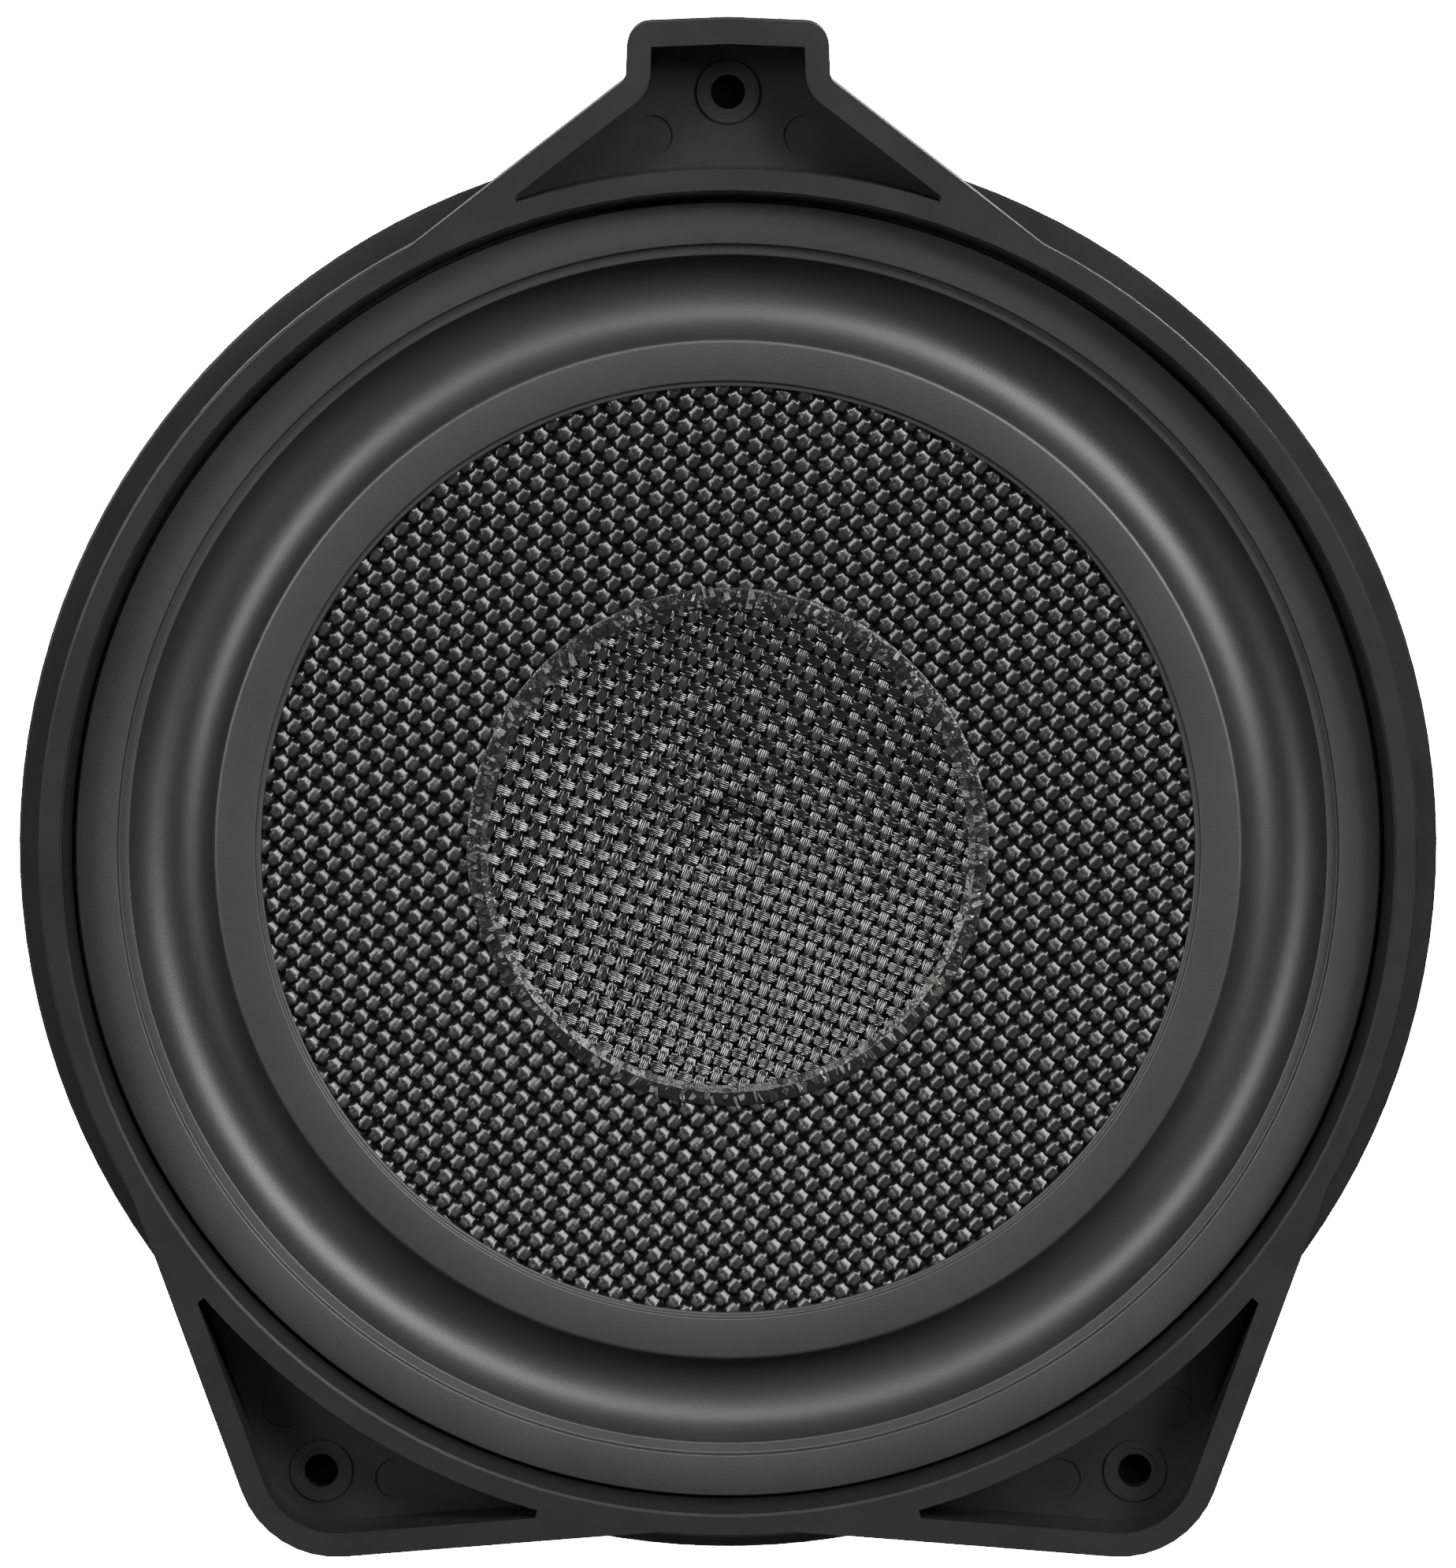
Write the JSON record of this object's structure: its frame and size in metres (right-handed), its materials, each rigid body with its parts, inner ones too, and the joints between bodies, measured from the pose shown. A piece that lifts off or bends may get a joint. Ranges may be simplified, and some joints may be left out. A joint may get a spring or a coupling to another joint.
{
  "type": "car woofer",
  "caption": "Shallow car woofer: a moulded black basket with screw ears, a rubber surround with a sunken roll, a woven cone with a sunken woven dust cap, and a vented ferrite motor.",
  "frame": {"origin": "on the speaker's axis, in the plane of the flange's rear face, which lies on the panel", "axes": "-Y is the way the speaker plays (its front), +Y goes through the panel to the motor, +Z points to the top ear, +X is to the right seen from the front"},
  "size_m": [0.217, 0.0715, 0.2357],
  "materials": {
    "basket_plastic": "matte",
    "gasket_foam": "matte",
    "surround_rubber": "satin",
    "spider_cloth": "matte",
    "plated_steel": "satin",
    "ferrite": "matte",
    "screen_mesh": "matte",
    "screw_steel": "satin",
    "board_laminate": "satin",
    "terminal_brass": "satin",
    "tinsel_braid": "satin",
    "cone_weave": "satin",
    "cap_weave": "gloss",
    "clear_glue": "gloss",
    "black_glue": "satin",
    "former_film": "gloss",
    "copper_wire": "gloss",
    "collar_paper": "matte",
    "solder": "satin"
  },
  "bodies": {
    "frame": {"basket": "basket_plastic", "gasket": "gasket_foam", "surround": "surround_rubber", "spider": "spider_cloth", "top_plate": "plated_steel", "magnet": "ferrite", "yoke": "plated_steel", "vent_screen": "screen_mesh", "motor_screw_1": "screw_steel", "motor_screw_2": "screw_steel", "motor_screw_3": "screw_steel", "motor_screw_4": "screw_steel", "terminal_board": "board_laminate", "terminal_positive": "terminal_brass", "terminal_negative": "terminal_brass", "rivet_positive": "terminal_brass", "rivet_negative": "terminal_brass", "tinsel_lead_positive": "tinsel_braid", "tinsel_lead_negative": "tinsel_braid"},
    "diaphragm": {"cone": "cone_weave", "dust_cap": "cap_weave", "cap_adhesive": "clear_glue", "neck_adhesive": "black_glue", "coil_former": "former_film", "coil_winding": "copper_wire", "coil_collar": "collar_paper", "spider_adhesive": "black_glue", "lead_out_positive": "copper_wire", "lead_out_negative": "copper_wire", "lead_joint_positive": "solder", "lead_joint_negative": "solder"}
  },
  "joints": [
    {"name": "cone_travel", "type": "slide", "parent": "frame", "child": "diaphragm", "axis": [0, -1, 0], "range_m": [-0.006, 0.006], "stiffness_N_per_m": 2900, "deforming": ["surround", "spider", "tinsel_lead_positive", "tinsel_lead_negative"]}
  ]
}
